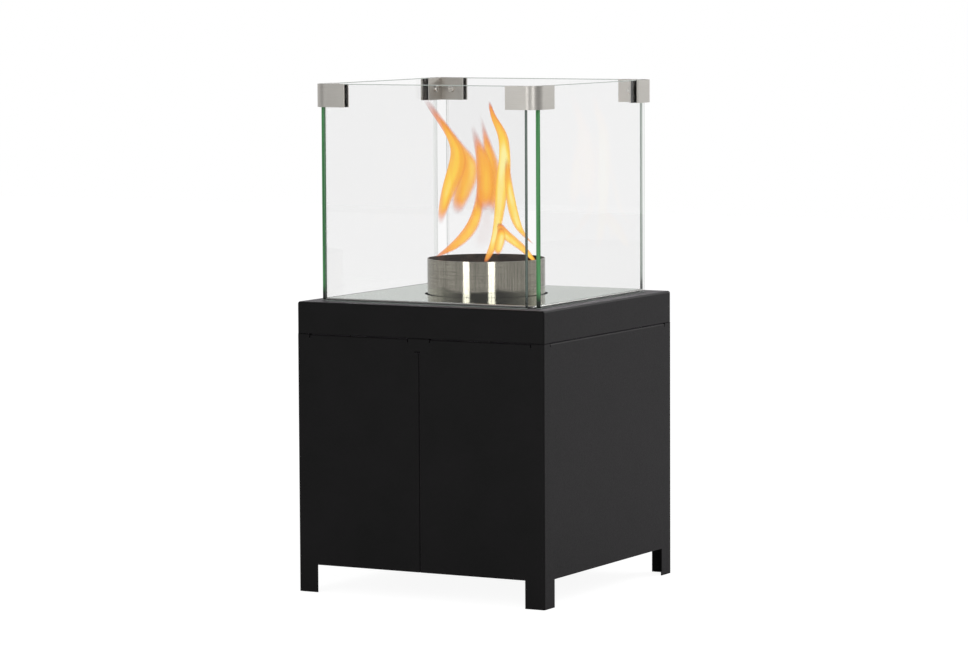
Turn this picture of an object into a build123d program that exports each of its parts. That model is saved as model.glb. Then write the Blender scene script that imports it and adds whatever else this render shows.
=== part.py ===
from build123d import *
import os

# Tabletop fireplace for wood pellets: a folded steel housing on four legs, a stainless deck with
# a lift-out burner, and a glass wind guard held by four corner brackets.
# Sizes are in millimetres. The origin is on the table under the middle of the housing.
# +Z is up, -Y is the front and +X is the right-hand side seen from the front.

# Housing, from the table up
BODY_W = 300.0
BODY_D = 300.0
LEG_H = 30.0
PANEL_H = 250.0
LEG_W = 23.0
SHEET = 1.2
BEND_R = 2.0
FLANGE = 16.0

# Top flanges of the half shells, and the plain lands between and beside them
CORNER_LAND = 16.0
SEAM_LAND = 14.0
FLANGE_DROP = 0.6
FOLD_H = 8.0
RELIEF_W = 1.2
RELIEF_DEPTH = 4.0

# The upright seam at the middle of the front and back
SEAM_TAB_H = 14.0
SEAM_RELIEF_LONG = 5.0
SEAM_SCREW_INSET = 9.0
LOW_SEAM_SCREW_UP = 32.0
HIGH_SEAM_SCREW_DOWN = 40.0

# Cap on top of the half shells
CAP_H = 34.5
CAP_R = 2.5
CAP_ARRIS = 0.4
CAP_LIP_H = 8.0
CLIP_H = 20.0
CLIP_W = 18.0
CLIP_AWAY = 75.0

# Deck plate inside the guard
DECK_RISE = 3.0
DECK_SHEET = 1.2
DECK_R = 1.6
DECK_LAP = 20.0
STUD_INSET = 9.0
STUD_L = 10.0

# Glass guard
GLASS_SETBACK = 17.0
GLASS_T = 5.0
GLASS_H = 233.5
GLASS_ARRIS = 0.4
DECK_TO_GLASS = 0.5
CORNER_GAP = 10.5
FRONT_PANE_SHIFT = -2.2
SIDE_PANE_SHIFT = -2.2
BACK_PANE_SHIFT = 1.5

# Corner brackets
BRACKET_H = 25.0
BRACKET_LEG = 38.5
BRACKET_WALL = 2.0
BRACKET_R = 14.0
INNER_WALL = 1.5
INNER_R = 1.6
WEB_T = 3.0
OUTER_PAD = 1.5
INNER_PAD = 1.0
PAD_BACK = 1.2
PAD_CORNER = 13.5
CLAMP_SCREW_OUT = 13.0

# Burner
CAN_R = 64.2
CAN_WALL = 1.0
CAN_H = 200.0
RIM_ABOVE_DECK = 38.7
DECK_HOLE_GAP = 3.0
AIR_HOLE_R = 7.0
AIR_HOLES = 10
AIR_HOLE_UP = 16.0

# Fire pot, which hangs in the burner can
AIR_GAP = 7.2
POT_WALL = 1.0
POT_BELOW_RIM = 13.0
ASH_SPACE = 21.0
POT_FIT = 0.4
POT_LEDGE = 12.0
JET_R = 2.5
JETS = 24
JET_BELOW_TOP = 14.0
LOW_JET_UP = 14.0
LUG_W = 10.0
LUG_H = 12.0
LUG_T = 1.2
LUG_CLEAR = 1.8
LUGS = 3
LUG_SEAT = 0.05

# Grate, which lies on the ledge of the fire pot
GRATE_T = 1.5
GRATE_FIT = 0.5
GRATE_HOLE_R = 2.5
GRATE_RING_STEP = 9.5

# Shelf that carries the burner
SHELF_RIM_H = 15.0
SHELF_SIDE_GAP = 0.6
SHELF_END_GAP = 2.5
SHELF_TAB_H = 28.0
SHELF_TAB_GAP = 1.0
SHELF_TAB_ROOT = 8.0
SHELF_SCREW_DOWN = 16.0
VENT_R = 7.0
VENTS = 12
VENT_RING = 30.0
STOP_W = 12.0
STOP_H = 8.0
STOP_GAP = 0.4
STOPS = 4

# M4 fasteners
SCREW_R = 2.0
SCREW_HOLE_R = 2.3
HEAD_R = 4.0
HEAD_H = 2.6
HEAD_DOME = 1.2
CROSS_L = 4.6
CROSS_W = 0.9
CROSS_DEPTH = 1.3
NUT_AF = 7.0
NUT_H = 3.2
NUT_FIT = 0.05
SCREW_PAST_NUT = 1.5

# Places worked out from the sizes above
HALF_W = BODY_W / 2
HALF_D = BODY_D / 2
PANEL_LOW = LEG_H
PANEL_TOP = LEG_H + PANEL_H
FOLD_TOP = PANEL_TOP - FLANGE_DROP
SEAM_TOP = PANEL_TOP - SEAM_TAB_H
CAP_TOP = PANEL_TOP + CAP_H
DECK_TOP = CAP_TOP + DECK_RISE
GLASS_TOP = CAP_TOP + GLASS_H
GLASS_X = HALF_W - GLASS_SETBACK
GLASS_Y = HALF_D - GLASS_SETBACK
DECK_X = GLASS_X - GLASS_T - DECK_TO_GLASS
DECK_Y = GLASS_Y - GLASS_T - DECK_TO_GLASS
RIM_TOP = DECK_TOP + RIM_ABOVE_DECK
SHELF_TOP = RIM_TOP - CAN_H
SHELF_HALF_W = HALF_W - SHEET - SHELF_SIDE_GAP
SHELF_HALF_D = HALF_D - FLANGE - SHELF_END_GAP
SHELF_SCREW_Z = SHELF_TOP - SHELF_SCREW_DOWN
POT_TOP = RIM_TOP - POT_BELOW_RIM
POT_LOW = SHELF_TOP + CAN_WALL + ASH_SPACE
POT_R = CAN_R - CAN_WALL - AIR_GAP
LEDGE_R = POT_R - POT_LEDGE
GRATE_RINGS = int((LEDGE_R - GRATE_HOLE_R) // GRATE_RING_STEP)


def block(x0, x1, y0, y1, z0, z1):
    """A box between two corners."""
    middle = Pos((x0 + x1) / 2, (y0 + y1) / 2, (z0 + z1) / 2)
    return middle * Box(x1 - x0, y1 - y0, z1 - z0)


def rod(radius, z0, z1):
    """An upright cylinder on the Z axis."""
    return Pos(0, 0, (z0 + z1) / 2) * Cylinder(radius, z1 - z0)


def folded(plane, points, sheet, outer_r, length):
    """A folded strip: sheet along the middle line through the points, run out from the plane."""
    path = FilletPolyline(*points, radius=outer_r - sheet / 2)
    return extrude(plane * trace(path, sheet), length)


def pan(half_w, half_d, height, sheet, outer_r, top, arris=0.0):
    """A shallow pan, open side down, rounded on top, with the arris of its rim broken if asked."""
    outer = block(-half_w, half_w, -half_d, half_d, top - height, top)
    outer = fillet(outer.edges().filter_by(Axis.Z) + outer.edges().group_by(Axis.Z)[-1], outer_r)
    if arris:
        outer = chamfer(outer.edges().group_by(Axis.Z)[0], arris)
    in_w = half_w - sheet
    in_d = half_d - sheet
    inner = block(-in_w, in_w, -in_d, in_d, top - height, top - sheet)
    inner = fillet(
        inner.edges().filter_by(Axis.Z) + inner.edges().group_by(Axis.Z)[-1], outer_r - sheet
    )
    return outer - inner


def screw(length):
    """A cross-head pan screw: its head stands on the XY plane and its shank goes down."""
    head = Pos(0, 0, HEAD_H / 2) * Cylinder(HEAD_R, HEAD_H)
    head = fillet(head.edges().group_by(Axis.Z)[-1], HEAD_DOME)
    cross_low = HEAD_H - CROSS_DEPTH
    for across, along in ((CROSS_L, CROSS_W), (CROSS_W, CROSS_L)):
        head -= block(-across / 2, across / 2, -along / 2, along / 2, cross_low, HEAD_H + 1)
    return head + rod(SCREW_R, -length, 0)


def nut():
    """A hexagon nut with its seat on the XY plane, standing up."""
    flat = RegularPolygon(NUT_AF / 2, 6, major_radius=False) - Circle(SCREW_R + NUT_FIT)
    return extrude(flat, NUT_H)


def mirrored(shape, right, front):
    """A shape made for the front right corner, carried to any corner."""
    if not right:
        shape = mirror(shape, Plane.YZ)
    if not front:
        shape = mirror(shape, Plane.XZ)
    return shape


def top_fold(plane, reach, start, end):
    """The folded top edge of a panel, between two places along it, in a plane that looks along it."""
    points = (
        (reach - SHEET / 2, FOLD_TOP - FOLD_H),
        (reach - SHEET / 2, FOLD_TOP - SHEET / 2),
        (reach - FLANGE, FOLD_TOP - SHEET / 2),
    )
    return folded(plane.offset(start), points, SHEET, BEND_R, end - start)


def half_shell():
    """The left half of the housing: a side panel, half of the front and half of the back."""
    x_mid = HALF_W - SHEET / 2
    y_mid = HALF_D - SHEET / 2
    plain = ((0, -y_mid), (-x_mid, -y_mid), (-x_mid, y_mid), (0, y_mid))
    seam_in = HALF_D - FLANGE
    flanged = (
        (-SHEET / 2, -seam_in), (-SHEET / 2, -y_mid), (-x_mid, -y_mid),
        (-x_mid, y_mid), (-SHEET / 2, y_mid), (-SHEET / 2, seam_in),
    )
    shell = folded(Plane.XY, plain, SHEET, BEND_R, PANEL_LOW)
    shell += folded(Plane.XY.offset(PANEL_LOW), flanged, SHEET, BEND_R, SEAM_TOP - PANEL_LOW)
    shell += folded(Plane.XY.offset(SEAM_TOP), plain, SHEET, BEND_R, SEAM_TAB_H)

    leg_x = HALF_W - LEG_W
    leg_y = HALF_D - LEG_W
    shell -= block(-leg_x, 1, -HALF_D - 1, HALF_D + 1, -1, PANEL_LOW)
    shell -= block(-HALF_W - 1, 0, -leg_y, leg_y, -1, PANEL_LOW)

    # Relief cuts where the seam flanges end under the plain tabs
    front_cut = SEAM_TOP - RELIEF_W
    shell -= block(-SEAM_RELIEF_LONG, 1, -HALF_D - 1, -seam_in + 1, front_cut, SEAM_TOP)
    shell -= block(-BEND_R, 1, seam_in - 1, HALF_D + 1, front_cut, SEAM_TOP)

    # Top edges: cut down, folded in, with a relief cut at each end of the fold
    fold_x0 = -HALF_W + CORNER_LAND
    fold_x1 = -SEAM_LAND
    fold_y = HALF_D - CORNER_LAND
    low = FOLD_TOP - FOLD_H
    high = PANEL_TOP + 1
    for y_side in (-1, 1):
        y0, y1 = sorted((y_side * (HALF_D - SHEET), y_side * (HALF_D + 1)))
        shell -= block(fold_x0, fold_x1, y0, y1, low, high)
    shell -= block(-HALF_W - 1, -HALF_W + SHEET, -fold_y, fold_y, low, high)

    along_x = Plane(origin=(0, 0, 0), x_dir=(0, 1, 0), z_dir=(1, 0, 0))
    front_fold = top_fold(along_x, HALF_D, fold_x0, fold_x1)
    shell += front_fold
    shell += mirror(front_fold, Plane.XZ)
    along_y = Plane(origin=(0, 0, 0), x_dir=(-1, 0, 0), z_dir=(0, 1, 0))
    shell += top_fold(along_y, HALF_W, -fold_y, fold_y)

    cut_low = FOLD_TOP - RELIEF_DEPTH
    for y_side in (-1, 1):
        y0, y1 = sorted((y_side * (HALF_D - FLANGE - 1), y_side * (HALF_D + 1)))
        shell -= block(fold_x0 - RELIEF_W, fold_x0, y0, y1, cut_low, high)
        shell -= block(fold_x1, fold_x1 + RELIEF_W, y0, y1, cut_low, high)
        y_cut = sorted((y_side * fold_y, y_side * (fold_y + RELIEF_W)))
        shell -= block(-HALF_W - 1, -HALF_W + FLANGE + 1, *y_cut, cut_low, high)

    # Screw holes in the seam flanges and the top flanges
    for place in seam_places():
        shell -= place * rod(SCREW_HOLE_R, -SHEET * 4, SHEET * 4)
    for x, y, _ in clip_places():
        if x < 0:
            shell -= Pos(x, y, FOLD_TOP) * rod(SCREW_HOLE_R, -SHEET * 3, SHEET * 3)
    return shell


def seam_heights():
    return (PANEL_LOW + LOW_SEAM_SCREW_UP, SHELF_SCREW_Z, PANEL_TOP - HIGH_SEAM_SCREW_DOWN)


def seam_places():
    """Screw places in the two seams, each with its own Z axis along +X."""
    places = []
    for y in (-HALF_D + SEAM_SCREW_INSET, HALF_D - SEAM_SCREW_INSET):
        for z in seam_heights():
            places.append(Pos(0, y, z) * Rot(0, 90, 0))
    return places


def seam_screws():
    """Screws from the right flange through the left one, longer where they also hold the shelf."""
    made = []
    for place in seam_places():
        holds_shelf = abs(place.position.Z - SHELF_SCREW_Z) < SHEET
        stack = SHEET * 3 if holds_shelf else SHEET * 2
        length = stack + NUT_H + SCREW_PAST_NUT
        made.append(place * Pos(0, 0, SHEET) * screw(length))
    return made


def seam_nuts():
    made = []
    for place in seam_places():
        holds_shelf = abs(place.position.Z - SHELF_SCREW_Z) < SHEET
        seat = -SHEET * 2 if holds_shelf else -SHEET
        made.append(place * Pos(0, 0, seat - NUT_H) * nut())
    return made


def clip_places():
    """Middle of each cap clip's screw hole, with the turn about Z that faces the clip outwards."""
    y = HALF_D - SEAM_SCREW_INSET
    x = HALF_W - SEAM_SCREW_INSET
    places = []
    for side in (-1, 1):
        for away in (-CLIP_AWAY, CLIP_AWAY):
            places.append((away, side * y, 0 if side < 0 else 180))
            places.append((side * x, away, 90 if side > 0 else -90))
    return places


def cap_clip():
    """One angle clip: its upright is welded inside the cap and its foot lies on a top flange."""
    wall = SEAM_SCREW_INSET - SHEET
    foot_end = FLANGE - SEAM_SCREW_INSET
    points = (
        (foot_end, FOLD_TOP + SHEET / 2),
        (-wall + SHEET / 2, FOLD_TOP + SHEET / 2),
        (-wall + SHEET / 2, FOLD_TOP + CLIP_H),
    )
    along_x = Plane(origin=(-CLIP_W / 2, 0, 0), x_dir=(0, 1, 0), z_dir=(1, 0, 0))
    clip = folded(along_x, points, SHEET, BEND_R, CLIP_W)
    return clip - Pos(0, 0, FOLD_TOP) * rod(SCREW_HOLE_R, -SHEET, SHEET * 2)


def at_clips(shape):
    return [Pos(x, y, 0) * Rot(0, 0, turn) * shape for x, y, turn in clip_places()]


def cap_screws():
    length = SHEET * 2 + NUT_H + SCREW_PAST_NUT
    upward = Pos(0, 0, FOLD_TOP - SHEET) * Rot(180, 0, 0) * screw(length)
    return at_clips(upward)


def cap_nuts():
    return at_clips(Pos(0, 0, FOLD_TOP + SHEET) * nut())


def stud_places():
    x = DECK_X - STUD_INSET
    y = DECK_Y - STUD_INSET
    return [(sx * x, sy * y) for sx in (-1, 1) for sy in (-1, 1)]


def top_cap():
    """The painted cap: top face, skirt with a broken lower arris, and a lipped opening."""
    cap = pan(HALF_W, HALF_D, CAP_H, SHEET, CAP_R, CAP_TOP, CAP_ARRIS)
    open_x = DECK_X - DECK_LAP
    open_y = DECK_Y - DECK_LAP
    lip_x = open_x + SHEET
    lip_y = open_y + SHEET
    cap += block(-lip_x, lip_x, -lip_y, lip_y, CAP_TOP - CAP_LIP_H, CAP_TOP - SHEET / 2)
    cap -= block(-open_x, open_x, -open_y, open_y, CAP_TOP - CAP_H, CAP_TOP + 1)
    for x, y in stud_places():
        cap -= Pos(x, y, CAP_TOP) * rod(SCREW_HOLE_R, -SHEET * 2, SHEET)
    return cap


def deck_plate():
    """The stainless deck: a shallow pan with the burner hole and four welded studs."""
    deck = pan(DECK_X, DECK_Y, DECK_RISE, DECK_SHEET, DECK_R, DECK_TOP)
    deck -= rod(CAN_R + DECK_HOLE_GAP, CAP_TOP - 1, DECK_TOP + 1)
    under = DECK_TOP - DECK_SHEET
    for x, y in stud_places():
        deck += Pos(x, y, 0) * rod(SCREW_R, under - STUD_L, under)
    return deck


def deck_nuts():
    seat = CAP_TOP - SHEET - NUT_H
    return [Pos(x, y, seat) * nut() for x, y in stud_places()]


def pane(long_x, half_run, thick_out, shift):
    """One upright pane; its outer face is at thick_out and it runs along X or along Y."""
    inner, outer = sorted((thick_out, thick_out - GLASS_T if thick_out > 0 else thick_out + GLASS_T))
    run = (shift - half_run, shift + half_run)
    sides = (*run, inner, outer) if long_x else (inner, outer, *run)
    glass = block(*sides, CAP_TOP, GLASS_TOP)
    return chamfer(glass.edges(), GLASS_ARRIS)


def panes():
    run_x = GLASS_X - CORNER_GAP
    run_y = GLASS_Y - CORNER_GAP
    return {
        "front": pane(True, run_x, -GLASS_Y, FRONT_PANE_SHIFT),
        "back": pane(True, run_x, GLASS_Y, BACK_PANE_SHIFT),
        "left": pane(False, run_y, -GLASS_X, SIDE_PANE_SHIFT),
        "right": pane(False, run_y, GLASS_X, SIDE_PANE_SHIFT),
    }


def to_corner(shape):
    """Carries a shape from the corner of the outer glass faces, at the origin, to the front right."""
    return Pos(GLASS_X, -GLASS_Y, GLASS_TOP - BRACKET_H) * shape


def corner_angle(face, wall, outer_r, leg_end):
    """An upright angle whose outer faces lie at face from the corner, legs along -X and +Y."""
    middle = face - wall / 2
    points = ((-leg_end, -middle), (middle, -middle), (middle, leg_end))
    return folded(Plane.XY, points, wall, outer_r, BRACKET_H)


def corner_bracket():
    """One bracket: a rounded outer angle and an inner angle, joined by a web in the corner."""
    outer_face = OUTER_PAD + BRACKET_WALL
    leg_end = BRACKET_LEG - outer_face
    inner_face = -(GLASS_T + INNER_PAD)
    bracket = corner_angle(outer_face, BRACKET_WALL, BRACKET_R, leg_end)
    inner = corner_angle(inner_face, INNER_WALL, INNER_R, leg_end)
    web_in = inner_face - INNER_WALL / 2
    web_out = outer_face - BRACKET_WALL / 2 - BRACKET_R * (1 - 0.5**0.5)
    centre = (web_in + web_out) / 2
    span = (web_out - web_in) * 2**0.5
    web = Pos(centre, -centre, BRACKET_H / 2) * Rot(0, 0, -45) * Box(span, WEB_T, BRACKET_H)
    bracket = bracket + inner + web
    for place in clamp_places():
        bracket -= place * rod(SCREW_R + NUT_FIT, -INNER_WALL * 2, INNER_WALL)
    return to_corner(bracket)


def clamp_places():
    """Clamp screw places on the two inner faces, each Z axis pointing into the guard."""
    seat = GLASS_T + INNER_PAD + INNER_WALL
    out = seat + CLAMP_SCREW_OUT
    middle = BRACKET_H / 2
    front = Pos(-out, seat, middle) * Rot(-90, 0, 0)
    side = Pos(-seat, out, middle) * Rot(0, -90, 0)
    return [front, side]


def clamp_screws():
    return [to_corner(place * screw(INNER_WALL)) for place in clamp_places()]


def glass_pads():
    """Four pads of one bracket: outside and inside of each of the two panes."""
    end = BRACKET_LEG - OUTER_PAD - BRACKET_WALL - PAD_BACK
    pads = []
    for low, high in ((-OUTER_PAD, 0), (GLASS_T, GLASS_T + INNER_PAD)):
        pads.append(block(-end, -PAD_CORNER, low, high, 0, BRACKET_H))
        pads.append(block(-high, -low, PAD_CORNER, end, 0, BRACKET_H))
    return [to_corner(pad) for pad in pads]


def burner_can():
    """The outer can of the burner, with a row of air holes near its floor."""
    can = rod(CAN_R, SHELF_TOP, RIM_TOP)
    can = fillet(can.edges().group_by(Axis.Z)[0], CAN_WALL)
    can -= rod(CAN_R - CAN_WALL, SHELF_TOP + CAN_WALL, RIM_TOP + 1)
    drill = Rot(0, 90, 0) * rod(AIR_HOLE_R, CAN_R / 2, CAN_R + 1)
    for n in range(AIR_HOLES):
        can -= Pos(0, 0, SHELF_TOP + AIR_HOLE_UP) * Rot(0, 0, n * 360 / AIR_HOLES) * drill
    return can


def pot_lugs():
    """Angle lugs welded inside the can, on which the flange of the fire pot rests."""
    seat = POT_TOP - POT_WALL
    outer = CAN_R - CAN_WALL - LUG_SEAT
    upright = rod(outer, seat - LUG_H, seat) - rod(outer - LUG_T, seat - LUG_H - 1, seat + 1)
    ledge = rod(outer, seat - LUG_T, seat) - rod(POT_R + LUG_CLEAR, seat - LUG_T - 1, seat + 1)
    sector = block(0, CAN_R, -LUG_W / 2, LUG_W / 2, seat - LUG_H, seat)
    lug = (upright + ledge) & sector
    return [Rot(0, 0, 90 + n * 360 / LUGS) * lug for n in range(LUGS)]


def fire_pot():
    """The fire pot: a tube with an outer flange at the top, air jets and an inner ledge."""
    pot = rod(POT_R, POT_LOW, POT_TOP)
    pot += rod(CAN_R - CAN_WALL - POT_FIT, POT_TOP - POT_WALL, POT_TOP)
    pot -= rod(POT_R - POT_WALL, POT_LOW + POT_WALL, POT_TOP + 1)
    pot -= rod(LEDGE_R, POT_LOW - 1, POT_TOP)
    drill = Rot(0, 90, 0) * rod(JET_R, POT_R / 2, POT_R + 1)
    for height in (POT_TOP - JET_BELOW_TOP, POT_LOW + LOW_JET_UP):
        for n in range(JETS):
            pot -= Pos(0, 0, height) * Rot(0, 0, n * 360 / JETS) * drill
    return pot


def pellet_grate():
    """The loose grate: a disc with rings of holes, six more in each ring than in the last."""
    low = POT_LOW + POT_WALL
    grate = Circle(POT_R - POT_WALL - GRATE_FIT) - Circle(GRATE_HOLE_R)
    for ring in range(1, GRATE_RINGS + 1):
        grate -= PolarLocations(ring * GRATE_RING_STEP, 6 * ring) * Circle(GRATE_HOLE_R)
    return extrude(Plane.XY.offset(low) * grate, GRATE_T)


def burner_shelf():
    """The shelf: a pan with vents, stops round the burner, and a tab to each seam flange."""
    low = SHELF_TOP - SHELF_RIM_H
    shelf = pan(SHELF_HALF_W, SHELF_HALF_D, SHELF_RIM_H, SHEET, BEND_R, SHELF_TOP)
    tab_out = HALF_D - SHEET - SHELF_TAB_GAP
    tab_low = SHELF_TOP - SHELF_TAB_H
    for side in (-1, 1):
        y0, y1 = sorted((side * (SHELF_HALF_D - SHELF_TAB_ROOT), side * tab_out))
        shelf += block(-SHEET * 2, -SHEET, y0, y1, tab_low, SHELF_TOP - SHEET / 2)
        screw_y = side * (HALF_D - SEAM_SCREW_INSET)
        drill = Rot(0, 90, 0) * rod(SCREW_HOLE_R, -SHEET * 3, 0)
        shelf -= Pos(0, screw_y, SHELF_SCREW_Z) * drill
    for n in range(VENTS):
        turn = Rot(0, 0, (n + 0.5) * 360 / VENTS)
        shelf -= turn * Pos(CAN_R + VENT_RING, 0, 0) * rod(VENT_R, low, SHELF_TOP + 1)
    inner = CAN_R + STOP_GAP
    for n in range(STOPS):
        turn = Rot(0, 0, 45 + n * 360 / STOPS)
        half = STOP_W / 2
        shelf -= turn * block(
            inner + SHEET, inner + SHEET + STOP_H, -half, half, low, SHELF_TOP + 1
        )
        shelf += turn * block(
            inner, inner + SHEET, -half, half, SHELF_TOP - SHEET, SHELF_TOP + STOP_H
        )
    return shelf


def save(name, shapes):
    """Writes one sub-part, which is one solid or a group of like ones."""
    if isinstance(shapes, (list, tuple)):
        solids = [solid for shape in shapes for solid in shape.solids()]
        shape = solids[0] if len(solids) == 1 else Compound(children=solids)
    else:
        shape = shapes
    export_step(shape, f"parts/{name}.step")


os.makedirs("parts", exist_ok=True)

left_shell = half_shell()
save("shell_left", left_shell)
save("shell_right", Rot(0, 0, 180) * left_shell)
save("seam_screws", seam_screws())
save("seam_nuts", seam_nuts())

save("top_cap", top_cap())
save("cap_clips", at_clips(cap_clip()))
save("cap_screws", cap_screws())
save("cap_nuts", cap_nuts())

save("deck_plate", deck_plate())
save("deck_nuts", deck_nuts())

for side, glass in panes().items():
    save(f"glass_pane_{side}", glass)

CORNERS = {
    "front_right": (True, True), "front_left": (False, True),
    "back_right": (True, False), "back_left": (False, False),
}
for corner, (right, front) in CORNERS.items():
    save(f"corner_bracket_{corner}", mirrored(corner_bracket(), right, front))
    save(f"glass_pads_{corner}", [mirrored(pad, right, front) for pad in glass_pads()])
    save(f"clamp_screws_{corner}", [mirrored(item, right, front) for item in clamp_screws()])

save("burner_shelf", burner_shelf())
save("burner_can", burner_can())
save("pot_lugs", pot_lugs())
save("fire_pot", fire_pot())
save("pellet_grate", pellet_grate())
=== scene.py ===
import math

import bpy
from mathutils import Matrix, Vector


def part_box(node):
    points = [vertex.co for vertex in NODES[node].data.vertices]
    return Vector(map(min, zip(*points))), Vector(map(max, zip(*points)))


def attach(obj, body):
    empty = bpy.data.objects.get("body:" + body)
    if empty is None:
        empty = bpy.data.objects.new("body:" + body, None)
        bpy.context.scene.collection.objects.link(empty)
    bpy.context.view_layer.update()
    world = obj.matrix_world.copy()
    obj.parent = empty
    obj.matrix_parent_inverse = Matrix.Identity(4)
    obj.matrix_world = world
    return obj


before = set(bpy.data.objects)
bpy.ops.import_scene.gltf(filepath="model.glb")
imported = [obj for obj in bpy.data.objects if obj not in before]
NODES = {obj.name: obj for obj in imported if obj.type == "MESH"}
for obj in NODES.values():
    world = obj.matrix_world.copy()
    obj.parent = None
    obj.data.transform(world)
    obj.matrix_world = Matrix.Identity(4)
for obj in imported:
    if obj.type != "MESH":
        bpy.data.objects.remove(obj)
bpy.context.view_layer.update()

# Tabletop fireplace for wood pellets, in metres: a black powder-coated steel housing on four legs,
# a polished stainless deck with a brushed burner, and a glass wind guard in stainless brackets.

BLACK_PARTS = ("shell_left", "shell_right", "top_cap")
GALVANISED_PARTS = ("cap_clips", "burner_shelf")
ZINC_PARTS = ("seam_screws", "seam_nuts", "cap_screws", "cap_nuts", "deck_nuts")
CORNERS = ("front_right", "front_left", "back_right", "back_left")

MM = 0.001
UP = Vector((0, 0, 1))

# The photograph's camera, fitted to the corners of the housing and the glass: lens and film, its
# turn from the front, its rise and its roll, and the point in its middle line, in metres
LENS_MM = 152.58
FILM_MM = 36.0
TURN_DEG = 28.787
RISE_DEG = 4.995
ROLL_DEG = -0.285
AIM_RIGHT = -0.00275
AIM_UP = 0.28539
CAMERA_AWAY = 4.4758
VIEW_RIGHT = Matrix.Rotation(math.radians(TURN_DEG), 3, "Z") @ Vector((1, 0, 0))
VIEW_AWAY = UP.cross(VIEW_RIGHT)

GLASS_IOR = 1.52
# Glass in front of glass in front of flames: enough clear layers for a ray to get through them all
CLEAR_LAYERS = 24


def linear(hex_code):
    """An sRGB hex colour as the four linear numbers of a shader."""
    shares = [int(hex_code[i:i + 2], 16) / 255 for i in (1, 3, 5)]
    return [s / 12.92 if s <= 0.04045 else ((s + 0.055) / 1.055) ** 2.4 for s in shares] + [1.0]


def node(tree, kind, inputs=None, **settings):
    """Adds a node with its settings. An input is a value, or the socket that feeds it."""
    made = tree.nodes.new(kind)
    for name, value in settings.items():
        setattr(made, name, value)
    for key, value in (inputs or {}).items():
        if isinstance(value, bpy.types.NodeSocket):
            tree.links.new(value, made.inputs[key])
        else:
            made.inputs[key].default_value = value
    return made


def start(name):
    """A new material with an empty node tree and its place in the object."""
    material = bpy.data.materials.new(name)
    material.use_nodes = True
    tree = material.node_tree
    tree.nodes.clear()
    place = node(tree, "ShaderNodeTexCoord").outputs["Object"]
    return material, tree, place


def finish(material, tree, shader):
    """Puts the shader on the surface, and gives the material back."""
    node(tree, "ShaderNodeOutputMaterial", {"Surface": shader})
    return material


def ramp(tree, share, stops, interpolation="LINEAR"):
    """A colour ramp over a share from 0 to 1; stops are (place, colour)."""
    made = node(tree, "ShaderNodeValToRGB", {"Fac": share})
    made.color_ramp.interpolation = interpolation
    elements = made.color_ramp.elements
    while len(elements) < len(stops):
        elements.new(0.5)
    for element, (place, tint) in zip(elements, stops):
        element.position = place
        element.color = tint
    return made.outputs["Color"]


def span(tree, value, low, high, to_low=0.0, to_high=1.0, **settings):
    """A value carried from one range to another, and kept inside it."""
    inputs = {"Value": value, "From Min": low, "From Max": high,
              "To Min": to_low, "To Max": to_high}
    return node(tree, "ShaderNodeMapRange", inputs, **settings).outputs["Result"]


def calculate(tree, operation, first, second=0.0):
    """One sum on one or two values."""
    return node(tree, "ShaderNodeMath", {0: first, 1: second}, operation=operation).outputs[0]


def noise(tree, place, size, detail=2.0, stretch=(1, 1, 1)):
    """Noise whose blotches are about the size given, in metres, and stretched along each axis."""
    scaled = node(tree, "ShaderNodeMapping", {"Vector": place, "Scale": [1 / s for s in stretch]})
    inputs = {"Vector": scaled.outputs[0], "Scale": 1 / size, "Detail": detail}
    return node(tree, "ShaderNodeTexNoise", inputs).outputs["Fac"]


def bump(tree, height, depth, strength=1.0):
    """A normal from a height map of the given depth, in metres."""
    inputs = {"Height": height, "Distance": depth, "Strength": strength}
    return node(tree, "ShaderNodeBump", inputs).outputs["Normal"]


def mix(tree, share, first, second):
    """Two colours mixed by a share. A mix node keeps its colour sockets after those for numbers."""
    return node(tree, "ShaderNodeMix", {0: share, 6: first, 7: second}, data_type="RGBA").outputs[2]


def powder_coat():
    """Satin black polyester powder coat on steel: the eye gets a fine, slightly uneven grain."""
    material, tree, place = start("satin_black_powder_coat")
    # The real grain is about 0.4 mm across; it is drawn at 1.1 mm so that it shows at all
    grain = noise(tree, place, 0.0011, detail=3.0)
    cloud = noise(tree, place, 0.045, detail=2.0)
    tint = ramp(tree, cloud, ((0.3, linear("#080808")), (0.7, linear("#0c0b0c"))))
    rough = span(tree, grain, 0.3, 0.7, 0.46, 0.58)
    # Painted shade: hardly any light gets into the joint under the cap, between its rim and the
    # folded panels, so a thin band of the coat there is painted black and made fully rough
    height = node(tree, "ShaderNodeSeparateXYZ", {"Vector": place}).outputs["Z"]
    joint_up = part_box("top_cap")[0].z
    under_rim, over_rim = 0.7 * MM, 0.45 * MM
    low = calculate(tree, "GREATER_THAN", height, joint_up - under_rim)
    high = calculate(tree, "LESS_THAN", height, joint_up + over_rim)
    painted_joint_shade = calculate(tree, "MULTIPLY", low, high)
    tint = mix(tree, painted_joint_shade, tint, linear("#000000"))
    rough = calculate(tree, "MAXIMUM", rough, painted_joint_shade)
    inputs = {"Base Color": tint, "Roughness": rough, "Specular IOR Level": 0.115,
              "Sheen Weight": 0.2, "Sheen Roughness": 0.35, "Sheen Tint": linear("#c9bfca"),
              "Normal": bump(tree, grain, 0.00016, 0.55)}
    return finish(material, tree, node(tree, "ShaderNodeBsdfPrincipled", inputs).outputs[0])


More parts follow.
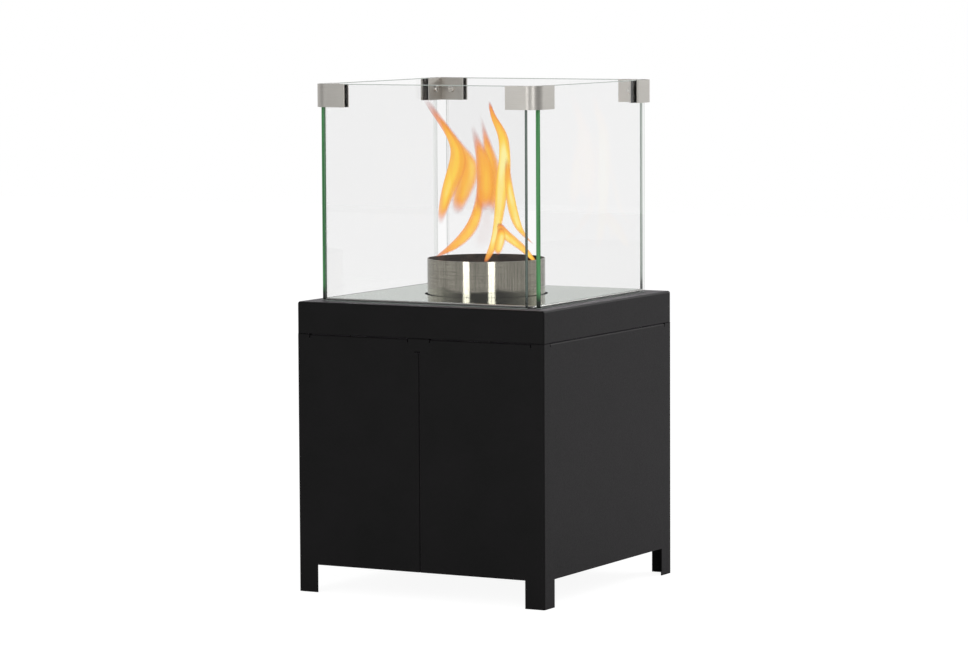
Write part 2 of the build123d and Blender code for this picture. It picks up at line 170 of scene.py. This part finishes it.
def galvanised():
    """Hot-dip galvanised sheet: pale zinc with faint spangles a few millimetres across."""
    material, tree, place = start("galvanised_steel_sheet")
    cells = node(tree, "ShaderNodeTexVoronoi", {"Vector": place, "Scale": 1 / 0.007})
    tint = ramp(tree, cells.outputs["Color"], ((0.0, linear("#9c9fa1")), (1.0, linear("#b4b6b7"))))
    rough = span(tree, cells.outputs["Distance"], 0.0, 1.0, 0.34, 0.48)
    inputs = {"Base Color": tint, "Roughness": rough, "Metallic": 1.0,
              "Normal": bump(tree, noise(tree, place, 0.002), 0.00005, 0.4)}
    return finish(material, tree, node(tree, "ShaderNodeBsdfPrincipled", inputs).outputs[0])


def zinc():
    """Bright zinc-plated fasteners: a clean grey metal with a little handling haze."""
    material, tree, place = start("bright_zinc_plate")
    haze = noise(tree, place, 0.0018, detail=3.0)
    tint = ramp(tree, haze, ((0.3, linear("#a9acae")), (0.7, linear("#c3c5c6"))))
    rough = span(tree, haze, 0.3, 0.7, 0.24, 0.38)
    inputs = {"Base Color": tint, "Roughness": rough, "Metallic": 1.0,
              "Normal": bump(tree, haze, 0.00002, 0.4)}
    return finish(material, tree, node(tree, "ShaderNodeBsdfPrincipled", inputs).outputs[0])


def deck_steel():
    """Bright annealed stainless sheet: nearly a mirror, hazed a little along its rolling lines."""
    material, tree, place = start("bright_annealed_stainless")
    # The rolling lines are 0.3 mm apart in reality, and drawn 3 mm apart so that they don't sparkle
    lines = noise(tree, place, 0.003, detail=0.0, stretch=(60, 1, 1))
    cloud = noise(tree, place, 0.03)
    tint = ramp(tree, cloud, ((0.3, linear("#a9a8a6")), (0.7, linear("#b3b2b0"))))
    rough = span(tree, lines, 0.3, 0.7, 0.10, 0.13)
    inputs = {"Base Color": tint, "Roughness": rough, "Metallic": 1.0,
              "Specular Tint": linear("#e2e8e3")}
    return finish(material, tree, node(tree, "ShaderNodeBsdfPrincipled", inputs).outputs[0])


def bracket_steel():
    """Fine brushed stainless: level brush lines 0.2 mm apart, drawn at 0.4 mm so they just show."""
    material, tree, place = start("brushed_stainless_brackets")
    lines = noise(tree, place, 0.0004, detail=2.0, stretch=(40, 40, 1))
    tint = ramp(tree, lines, ((0.25, linear("#b3b0aa")), (0.75, linear("#bdbab5"))))
    rough = span(tree, lines, 0.3, 0.7, 0.38, 0.46)
    inputs = {"Base Color": tint, "Roughness": rough, "Metallic": 1.0,
              "Normal": bump(tree, lines, 0.00001, 0.3)}
    return finish(material, tree, node(tree, "ShaderNodeBsdfPrincipled", inputs).outputs[0])


def screw_steel():
    """Turned stainless screws: a brighter metal than the brackets, with fine turning marks."""
    material, tree, place = start("turned_stainless_screws")
    turning = noise(tree, place, 0.0006, detail=2.0)
    tint = ramp(tree, turning, ((0.3, linear("#cfcdc8")), (0.7, linear("#e2e0dc"))))
    rough = span(tree, turning, 0.3, 0.7, 0.24, 0.34)
    inputs = {"Base Color": tint, "Roughness": rough, "Metallic": 1.0,
              "Normal": bump(tree, turning, 0.00002, 0.3)}
    return finish(material, tree, node(tree, "ShaderNodeBsdfPrincipled", inputs).outputs[0])


def rubber():
    """Matt black silicone pads: soft light, no highlight, a little dust."""
    material, tree, place = start("matt_black_silicone_rubber")
    dust = noise(tree, place, 0.0015, detail=3.0)
    tint = ramp(tree, dust, ((0.35, linear("#111111")), (0.75, linear("#1e1e1d"))))
    inputs = {"Base Color": tint, "Roughness": 0.75, "Normal": bump(tree, dust, 0.00004, 0.4)}
    return finish(material, tree, node(tree, "ShaderNodeBsdfPrincipled", inputs).outputs[0])


def burner_steel():
    """Brushed stainless can: fine lines round it and faint upright streaks outside, soot inside."""
    material, tree, place = start("brushed_stainless_burner")
    low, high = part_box("burner_can")
    radius = (high.x - low.x) / 2
    wall = 1.0 * MM
    parts = node(tree, "ShaderNodeSeparateXYZ", {"Vector": place})
    flat = node(tree, "ShaderNodeCombineXYZ", {"X": parts.outputs["X"], "Y": parts.outputs["Y"]})
    out = node(tree, "ShaderNodeVectorMath", {0: flat.outputs[0]}, operation="LENGTH")
    out = out.outputs["Value"]
    inside = span(tree, out, radius - wall * 0.5, radius - wall * 0.9)
    lines = noise(tree, place, 0.0006, detail=3.0, stretch=(60, 60, 1))
    upright = noise(tree, place, 0.0016, detail=2.0, stretch=(1, 1, 40))
    worn = calculate(tree, "ADD", lines, calculate(tree, "SUBTRACT", upright, 0.5))
    steel = ramp(tree, worn, ((0.2, linear("#918d80")), (0.8, linear("#bdb8aa"))))
    patches = noise(tree, place, 0.012, detail=4.0)
    soot = ramp(tree, patches, ((0.3, linear("#271e19")), (0.65, linear("#4c3f36"))))
    tint = mix(tree, inside, steel, soot)
    rough = span(tree, inside, 0.0, 1.0, 0.10, 0.75)
    metal = span(tree, inside, 0.0, 1.0, 1.0, 0.35)
    inputs = {"Base Color": tint, "Roughness": rough, "Metallic": metal,
              "Normal": bump(tree, lines, 0.00002, 0.35)}
    return finish(material, tree, node(tree, "ShaderNodeBsdfPrincipled", inputs).outputs[0])


def fired_steel():
    """Stainless that has held fire: straw, brown and blue heat tints under patches of soot."""
    material, tree, place = start("fired_sooty_stainless")
    low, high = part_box("fire_pot")
    height = node(tree, "ShaderNodeSeparateXYZ", {"Vector": place}).outputs["Z"]
    share = span(tree, height, low.z, high.z)
    wander = noise(tree, place, 0.02, detail=3.0)
    heat = calculate(tree, "ADD", share, span(tree, wander, 0.3, 0.7, -0.15, 0.15))
    stops = ((0.0, "#6f6a63"), (0.35, "#7d6a4e"), (0.6, "#5c4636"), (0.8, "#3a3f4e"),
             (1.0, "#2a2725"))
    tint = ramp(tree, heat, [(at, linear(code)) for at, code in stops])
    # Soot lies in smoky patches a few centimetres across, drawn out upwards
    smoke = noise(tree, place, 0.022, detail=6.0, stretch=(1, 1, 2.2))
    soot = span(tree, smoke, 0.3, 0.72, 0.35, 0.95, interpolation_type="SMOOTHSTEP")
    tint = mix(tree, soot, tint, linear("#1b1716"))
    rough = span(tree, soot, 0.35, 0.95, 0.42, 0.75)
    inputs = {"Base Color": tint, "Roughness": rough, "Metallic": 0.7,
              "Normal": bump(tree, wander, 0.0002, 0.3)}
    return finish(material, tree, node(tree, "ShaderNodeBsdfPrincipled", inputs).outputs[0])


# The cut edges that face the side show grey, and those that face the front or back deep green. The
# green is the glass's own colour; the grey is painted light and shade, set per pane: dark on the
# front pane as painted shade, pale on the back pane as painted light
EDGE_GREEN_AND_PAINTED_LIGHT = {"front": ("#3c4a43", "#56655d"), "back": ("#8f9c95", "#b4bdb8"),
              "left": ("#2f6a3a", "#4f8f5a"), "right": ("#2f6a3a", "#4f8f5a")}


def guard_glass(side):
    """Clear float glass: faces that show what is behind them, and cut edges whose deep green is the
    glass's own, with a grey of painted light and shade on the front and back panes.
    """
    material, tree, place = start(f"clear_float_glass_{side}")
    low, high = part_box(f"glass_pane_{side}")
    run_axis = "X" if side in ("front", "back") else "Y"
    run_low, run_high = (low.x, high.x) if run_axis == "X" else (low.y, high.y)
    arris = 0.7 * MM
    parts = node(tree, "ShaderNodeSeparateXYZ", {"Vector": place})
    along = parts.outputs[run_axis]
    height = parts.outputs["Z"]
    left_end = calculate(tree, "LESS_THAN", along, run_low + arris)
    right_end = calculate(tree, "GREATER_THAN", along, run_high - arris)
    top_end = calculate(tree, "GREATER_THAN", height, high.z - arris)
    low_end = calculate(tree, "LESS_THAN", height, low.z + arris)
    upright = calculate(tree, "MAXIMUM", left_end, right_end)
    level = calculate(tree, "MAXIMUM", top_end, low_end)

    # The cut edges are painted darker towards the black cap, as painted shade: light that is led up
    # through the pane dims there
    dim_low, dim_high = low.z + 5 * MM, low.z + 20 * MM
    dim = span(tree, height, dim_low, dim_high, interpolation_type="SMOOTHSTEP")
    streak = noise(tree, place, 0.0025, detail=1.0, stretch=(1, 1, 60))
    # This pane's edge tones: painted light and shade on the grey ends of the front and back panes,
    # the glass's own green on the side panes
    dark, light = EDGE_GREEN_AND_PAINTED_LIGHT[side]
    edge_green_and_painted_light = ramp(tree, streak, ((0.35, linear(dark)), (0.65, linear(light))))
    edge_green_and_painted_light = mix(tree, dim, linear("#0c1a11"), edge_green_and_painted_light)
    edge_colour_and_painted_light = mix(tree, level, edge_green_and_painted_light, linear("#9fa8a2"))
    edge_inputs = {"Base Color": edge_colour_and_painted_light, "Roughness": 0.18, "IOR": GLASS_IOR}
    edge = node(tree, "ShaderNodeBsdfPrincipled", edge_inputs).outputs[0]

    seen = node(tree, "ShaderNodeBsdfTransparent", {"Color": linear("#fcfcfc")}).outputs[0]
    mirror = {"Color": linear("#ffffff"), "Roughness": 0.0}
    sheen = node(tree, "ShaderNodeBsdfGlossy", mirror).outputs[0]
    # The sheen of both faces is put on the one that the light meets first
    within = node(tree, "ShaderNodeNewGeometry").outputs["Backfacing"]
    share = node(tree, "ShaderNodeFresnel", {"IOR": GLASS_IOR}).outputs[0]
    share = node(tree, "ShaderNodeMix", {0: within, 2: share, 3: 0.0}).outputs[0]
    face = node(tree, "ShaderNodeMixShader", {0: share, 1: seen, 2: sheen}).outputs[0]
    # A cut edge looks green from its own side only: from within the pane it hardly shows
    hidden_share = 0.9
    hidden = calculate(tree, "MULTIPLY", within, hidden_share)
    edge = node(tree, "ShaderNodeMixShader", {0: hidden, 1: edge, 2: seen}).outputs[0]
    cut = calculate(tree, "MAXIMUM", upright, level)
    pane = node(tree, "ShaderNodeMixShader", {0: cut, 1: face, 2: edge}).outputs[0]
    return finish(material, tree, pane)


def burning_gas():
    """Burning wood gas: a bright yellow heart that cools through orange to a thin mauve haze."""
    material, tree, place = start("burning_wood_gas")
    material.cycles.emission_sampling = "NONE"
    flow = node(tree, "ShaderNodeUVMap", uv_map="flow").outputs["UV"]
    parts = node(tree, "ShaderNodeSeparateXYZ", {"Vector": flow})
    heat = node(tree, "ShaderNodeAttribute", attribute_name="warmth").outputs["Fac"]
    density = node(tree, "ShaderNodeAttribute", attribute_name="thickness").outputs["Fac"]
    aside = calculate(tree, "ABSOLUTE", calculate(tree, "SUBTRACT", parts.outputs["X"], 0.5))
    smooth = {"interpolation_type": "SMOOTHSTEP"}
    within = span(tree, aside, 0.5, 0.02, **smooth)
    # Wisps are about 12 mm across and drawn out upwards
    wisps = span(tree, noise(tree, place, 0.012, stretch=(1, 1, 5)), 0.3, 0.7, 0.72, 1.12)
    body = calculate(tree, "MULTIPLY", calculate(tree, "MULTIPLY", within, wisps), density)
    cover = span(tree, body, 0.0, 0.8, 0.0, 0.88, **smooth)
    stops = ((0.0, "#a58088"), (0.07, "#b96757"), (0.17, "#e67b3c"), (0.31, "#f8a244"),
             (0.52, "#fcbc50"), (0.74, "#ffd658"), (1.0, "#fff3a4"))
    # The gas is cooler, and so redder, at its root and at its tip
    cool = calculate(tree, "MULTIPLY", span(tree, parts.outputs["Y"], 0.0, 0.14, 0.5, 1.0),
                     span(tree, parts.outputs["Y"], 1.0, 0.66, 0.2, 1.0))
    glowing = calculate(tree, "MULTIPLY", calculate(tree, "MULTIPLY", body, heat), cool)
    tint = ramp(tree, glowing, [(at, linear(code)) for at, code in stops])
    # A little over 1 makes up for what the panes in front of the flame take away
    strength = 1.07
    glow = node(tree, "ShaderNodeEmission", {"Color": tint, "Strength": strength}).outputs[0]
    clear = node(tree, "ShaderNodeBsdfTransparent").outputs[0]
    gas = node(tree, "ShaderNodeMixShader", {0: cover, 1: clear, 2: glow}).outputs[0]
    return finish(material, tree, gas)


# Each tongue of flame, in millimetres: how far behind the middle its root and its tip stand, its
# turn from the view, its warmth, how soft its left and right edge are, and the points of its
# middle line as height, place to the right, half width seen in the photograph, and thickness.
TONGUES = (
    # The left flame, with the tip that bends away
    (-4, -14, -34, 0.74, 0.52, 1.0, (
        (390.0, -49.5, 3.0, 0.0), (399.0, -48.3, 4.2, 0.35), (410.0, -45.8, 6.0, 0.85),
        (428.0, -40.5, 8.6, 1.0), (446.0, -33.6, 10.6, 1.0), (461.0, -29.2, 10.4, 1.0),
        (474.0, -29.6, 7.8, 1.0), (486.3, -35.1, 6.2, 0.9), (496.0, -41.5, 5.2, 0.75),
        (505.0, -47.3, 5.2, 0.75), (516.0, -55.0, 5.2, 0.5), (525.0, -60.5, 5.2, 0.28),
        (532.0, -65.0, 4.0, 0.0))),
    # The broad lobe beside it
    (10, 4, 36, 0.62, 1.0, 1.0, (
        (400.0, -31.5, 5.0, 0.0), (410.0, -30.0, 9.0, 0.42), (424.0, -26.5, 13.0, 0.9),
        (440.0, -22.0, 16.0, 1.0), (455.0, -19.0, 15.5, 1.0), (464.0, -20.5, 12.0, 0.9),
        (474.0, -26.5, 9.0, 0.8), (486.0, -34.5, 6.5, 0.6), (500.0, -43.5, 5.5, 0.4),
        (512.0, -52.0, 4.0, 0.0))),
    # The middle flame, left half
    (-12, -6, 38, 0.6, 0.62, 1.0, (
        (403.0, -3.5, 6.0, 0.0), (413.0, -1.5, 8.5, 0.36), (422.0, -0.5, 10.0, 0.78),
        (432.0, 0.5, 10.5, 1.0), (448.0, 0.5, 10.5, 1.0), (464.0, -2.0, 8.5, 0.9),
        (475.0, -5.5, 6.5, 0.7), (485.0, -9.0, 5.0, 0.42), (497.0, -12.6, 3.8, 0.2),
        (504.0, -14.5, 2.0, 0.0))),
    # The middle flame, right half
    (14, 8, -34, 0.6, 1.0, 1.0, (
        (399.0, 9.5, 6.0, 0.0), (409.0, 8.5, 9.0, 0.32), (420.0, 7.5, 11.5, 0.75),
        (432.0, 7.5, 12.5, 1.0), (448.0, 7.0, 13.0, 1.0), (462.0, 5.5, 10.0, 0.95),
        (474.0, 3.0, 7.2, 0.85), (484.0, 0.8, 5.4, 0.62), (496.0, -2.0, 4.0, 0.36),
        (508.0, -4.6, 2.8, 0.16), (514.0, -6.0, 1.5, 0.0))),
    # The low flame that licks over the left of the rim
    (6, -14, 30, 0.68, 0.55, 1.0, (
        (357.0, -54.0, 2.5, 0.3), (361.5, -44.5, 6.5, 0.7), (370.0, -31.5, 9.5, 0.95),
        (383.0, -19.0, 9.4, 1.0), (395.5, -11.8, 8.0, 0.95), (410.0, -7.6, 6.2, 0.8),
        (424.0, -6.2, 5.0, 0.5), (440.0, -6.4, 3.5, 0.2), (456.0, -7.0, 1.5, 0.0))),
    # The tall bright flame
    (-6, 2, -26, 1.12, 0.5, 0.55, (
        (350.0, -1.5, 2.0, 0.1), (355.5, 1.0, 3.0, 0.55), (366.0, 6.5, 4.6, 0.85),
        (377.3, 9.8, 4.2, 0.9), (392.0, 12.6, 4.8, 0.85), (406.5, 14.6, 5.6, 0.85),
        (421.0, 16.2, 6.4, 0.95), (436.0, 17.8, 7.2, 1.0), (450.0, 19.8, 7.6, 1.0),
        (465.0, 21.0, 6.2, 1.0), (483.0, 20.2, 5.8, 1.0), (493.0, 17.4, 5.4, 1.0),
        (501.4, 13.0, 4.6, 0.95), (509.0, 9.0, 3.3, 0.8), (518.0, 5.8, 2.0, 0.6),
        (530.0, 3.6, 1.2, 0.0))),
    # The strand down its right side
    (-24, -4, 34, 1.02, 0.7, 0.55, (
        (371.0, 53.0, 0.8, 0.1), (376.0, 46.5, 1.6, 0.4), (383.0, 39.6, 3.0, 0.8),
        (391.0, 34.6, 4.4, 1.0), (401.0, 30.9, 5.4, 1.0), (417.0, 27.3, 5.2, 1.0),
        (436.0, 24.6, 4.4, 0.9), (453.0, 23.3, 3.2, 0.6), (470.0, 22.5, 2.0, 0.0))),
    # The low flame to the right of the rim
    (-12, -8, -28, 0.9, 0.8, 0.6, (
        (350.0, 55.0, 1.6, 0.5), (356.0, 49.5, 3.2, 0.85), (364.5, 42.0, 5.4, 0.95),
        (373.0, 31.5, 8.4, 1.0), (379.0, 23.5, 9.6, 1.0), (385.0, 18.6, 7.2, 1.0),
        (391.0, 15.6, 4.4, 0.85), (396.0, 14.0, 2.0, 0.0))),
    # The hook at its foot
    (-16, -14, 26, 1.0, 0.7, 1.0, (
        (360.0, 13.0, 3.0, 0.2), (366.0, 13.5, 5.5, 0.85), (375.0, 16.0, 6.5, 1.0),
        (384.0, 17.0, 5.5, 0.9), (392.0, 16.0, 2.5, 0.0))),
    # The faint haze between them
    (4, 10, 20, 0.5, 1.0, 1.0, (
        (358.0, -6.0, 14.0, 0.0), (374.0, -3.0, 19.0, 0.16), (394.0, 1.0, 18.0, 0.16),
        (418.0, 2.0, 14.0, 0.12), (440.0, 3.0, 6.0, 0.0))),
)
# The thickness of a tongue as a share of its width, and the corners of its section
BLADE_SHARE = 0.32
BLADE_CORNERS = 12


def flame_tongue(low_depth, tip_depth, turn, warmth, soft_left, soft_right, points):
    """One tongue of flame: a closed, flattened blade that bends and tapers from root to tip."""
    wide = Matrix.Rotation(math.radians(turn), 3, "Z") @ VIEW_RIGHT
    thin = UP.cross(wide)
    rings = []
    for count, (up, right, half, thickness) in enumerate(points):
        depth = low_depth + (tip_depth - low_depth) * count / (len(points) - 1)
        middle = VIEW_RIGHT * right + VIEW_AWAY * depth
        centre = Vector((middle.dot(wide), middle.dot(thin), up)) * MM
        rings.append((centre, half * MM / math.cos(math.radians(turn)), thickness))

    bpy.ops.object.select_all(action="DESELECT")
    bpy.ops.mesh.primitive_circle_add(vertices=BLADE_CORNERS, radius=1, fill_type="NGON")
    tongue = bpy.context.object
    bpy.ops.object.mode_set(mode="EDIT")
    centre, half, _ = rings[0]
    bpy.ops.transform.resize(value=(half, half * BLADE_SHARE, 1), center_override=(0, 0, 0))
    bpy.ops.transform.translate(value=centre)
    for next_centre, next_half, _ in rings[1:]:
        bpy.ops.mesh.extrude_region_move(TRANSFORM_OT_translate={"value": next_centre - centre})
        growth = next_half / half
        bpy.ops.transform.resize(value=(growth, growth, 1), center_override=next_centre)
        centre, half = next_centre, next_half
    bpy.ops.mesh.select_all(action="SELECT")
    bpy.ops.mesh.normals_make_consistent(inside=False)
    bpy.ops.object.mode_set(mode="OBJECT")

    def nearest_ring(at):
        return min(rings, key=lambda ring: abs(ring[0].z - at.z))

    # The piece's own map: across the blade in U, and from root to tip in V
    mesh = tongue.data
    flow = mesh.uv_layers[0]
    flow.name = "flow"
    root_up, tip_up = rings[0][0].z, rings[-1][0].z
    for loop in mesh.loops:
        at = mesh.vertices[loop.vertex_index].co
        centre, half, _ = nearest_ring(at)
        across = (at.x - centre.x) / half
        across *= soft_left if across < 0 else soft_right
        along = (at.z - root_up) / (tip_up - root_up)
        flow.data[loop.index].uv = (0.5 + across / 2, along)
    for entry in mesh.attributes.new("warmth", "FLOAT", "POINT").data:
        entry.value = warmth
    thick = mesh.attributes.new("thickness", "FLOAT", "POINT").data
    for vertex in mesh.vertices:
        thick[vertex.index].value = nearest_ring(vertex.co)[2]
    mesh.transform(Matrix((wide, thin, UP)).transposed().to_4x4())
    bpy.ops.object.modifier_add(type="SUBSURF")
    smoother = tongue.modifiers[0]
    smoother.levels = smoother.render_levels = 2
    smoother.uv_smooth = "NONE"
    bpy.ops.object.modifier_apply(modifier=smoother.name)
    bpy.ops.object.shade_smooth()
    return tongue


def flame():
    """The flame over the pellets: it stands in the fire pot and goes where the pot goes."""
    tongues = [flame_tongue(*shape) for shape in TONGUES]
    bpy.ops.object.select_all(action="DESELECT")
    for tongue in tongues:
        tongue.select_set(True)
    bpy.context.view_layer.objects.active = tongues[0]
    bpy.ops.object.join()
    whole = bpy.context.object
    whole.name = "flame"
    whole.data.name = "flame"
    whole.data.materials.clear()
    whole.data.materials.append(burning_gas())
    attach(whole, "pot")


def dress(names, material):
    """Gives CAD pieces their finish."""
    for name in names:
        slots = NODES[name].data.materials
        slots.clear()
        slots.append(material)


def studio():
    """A white background, two tall soft lamps beside the camera, and one high up behind."""
    world = bpy.data.worlds.new("white_studio")
    world.use_nodes = True
    tree = world.node_tree
    tree.nodes.clear()
    direction = node(tree, "ShaderNodeTexCoord").outputs["Generated"]
    parts = node(tree, "ShaderNodeSeparateXYZ", {"Vector": direction})
    # From -1 straight behind the camera to 1 straight behind the object
    behind = calculate(tree, "ADD", calculate(tree, "MULTIPLY", parts.outputs["Y"], VIEW_AWAY.y),
                       calculate(tree, "MULTIPLY", parts.outputs["X"], VIEW_AWAY.x))
    # Metal mirrors a dim room round the camera and the white background behind the object
    room = ((0.0, 0.04), (0.1, 0.09), (0.22, 0.19), (0.5, 0.5), (0.72, 1.0))
    room = [(at, (light, light, light, 1)) for at, light in room]
    reflected = ramp(tree, span(tree, behind, -1.0, 1.0), room)
    path = node(tree, "ShaderNodeLightPath")
    shown = calculate(tree, "MAXIMUM", path.outputs["Is Camera Ray"],
                      path.outputs["Is Transmission Ray"])
    soft_light = 0.62
    glossy = path.outputs["Is Glossy Ray"]
    level = node(tree, "ShaderNodeMix", {0: glossy, 2: soft_light, 3: reflected})
    level = node(tree, "ShaderNodeMix", {0: shown, 2: level.outputs[0], 3: 1.0})
    inputs = {"Color": (1, 1, 1, 1), "Strength": level.outputs[0]}
    shine = node(tree, "ShaderNodeBackground", inputs)
    node(tree, "ShaderNodeOutputWorld", {"Surface": shine.outputs[0]})
    bpy.context.scene.world = world

    # Each lamp's azimuth, power, width, height, and the height of its middle. The lamp behind
    # stands high, so that the panes don't mirror it into the photograph's view
    lamps = ((-10.5, 12.0, 0.5, 1.6, 0.9), (39.0, 12.0, 0.5, 1.6, 0.9),
             (146.0, 20.0, 0.8, 1.0, 1.45))
    lamp_away = 2.2
    lit_point = Vector((0, 0, 0.35))
    for azimuth, power, width, tall, middle_up in lamps:
        lamp = bpy.data.lights.new("tall_softbox", "AREA")
        lamp.shape = "RECTANGLE"
        lamp.size = width
        lamp.size_y = tall
        lamp.energy = power
        holder = bpy.data.objects.new("tall_softbox", lamp)
        turn = math.radians(azimuth)
        holder.location = (lamp_away * math.sin(turn), -lamp_away * math.cos(turn), middle_up)
        towards = lit_point - holder.location
        holder.rotation_euler = towards.to_track_quat("-Z", "Y").to_euler()
        bpy.context.scene.collection.objects.link(holder)


def floor():
    """A white floor that keeps the object's soft shadow and is white to the camera elsewhere."""
    bpy.ops.object.select_all(action="DESELECT")
    bpy.ops.mesh.primitive_plane_add(size=12, location=(0, 0, 0))
    plane = bpy.context.object
    plane.name = "pale_floor"
    material, tree, _ = start("white_floor")
    path = node(tree, "ShaderNodeLightPath")
    matt = node(tree, "ShaderNodeBsdfDiffuse", {"Color": linear("#f4f4f4")}).outputs[0]
    glow, glow_share = 1.15, 0.8
    white = node(tree, "ShaderNodeEmission", {"Color": (1, 1, 1, 1), "Strength": glow}).outputs[0]
    seen = calculate(tree, "MAXIMUM", path.outputs["Is Camera Ray"],
                     path.outputs["Is Transmission Ray"])
    share = calculate(tree, "MULTIPLY", seen, glow_share)
    both = node(tree, "ShaderNodeMixShader", {0: share, 1: matt, 2: white}).outputs[0]
    finish(material, tree, both)
    plane.data.materials.append(material)


def camera():
    """The photograph's view: far off and slightly above, turned to the front right corner."""
    turn, rise, roll = (math.radians(v) for v in (TURN_DEG, RISE_DEG, ROLL_DEG))
    level_back = Vector((math.sin(turn), -math.cos(turn), 0))
    back = level_back * math.cos(rise) + UP * math.sin(rise)
    level_right = Vector((math.cos(turn), math.sin(turn), 0))
    level_up = back.cross(level_right)
    right = level_right * math.cos(roll) + level_up * math.sin(roll)
    up = level_up * math.cos(roll) - level_right * math.sin(roll)
    aim = level_right * AIM_RIGHT + Vector((0, 0, AIM_UP))
    data = bpy.data.cameras.new("photograph")
    data.lens = LENS_MM
    data.sensor_width = FILM_MM
    eye = bpy.data.objects.new("photograph", data)
    turned = Matrix((right, up, back)).transposed().to_4x4()
    eye.matrix_world = Matrix.Translation(aim + back * CAMERA_AWAY) @ turned
    bpy.context.scene.collection.objects.link(eye)
    bpy.context.scene.camera = eye


camera()
studio()
floor()
dress(BLACK_PARTS, powder_coat())
dress(GALVANISED_PARTS, galvanised())
dress(ZINC_PARTS, zinc())
dress(("deck_plate",), deck_steel())
dress([f"corner_bracket_{corner}" for corner in CORNERS], bracket_steel())
dress([f"clamp_screws_{corner}" for corner in CORNERS], screw_steel())
dress([f"glass_pads_{corner}" for corner in CORNERS], rubber())
dress(("burner_can", "pot_lugs"), burner_steel())
dress(("fire_pot", "pellet_grate"), fired_steel())
for side in ("front", "back", "left", "right"):
    dress((f"glass_pane_{side}",), guard_glass(side))
flame()

bpy.context.scene.cycles.transparent_max_bounces = CLEAR_LAYERS
bpy.context.scene.view_settings.view_transform = "Standard"
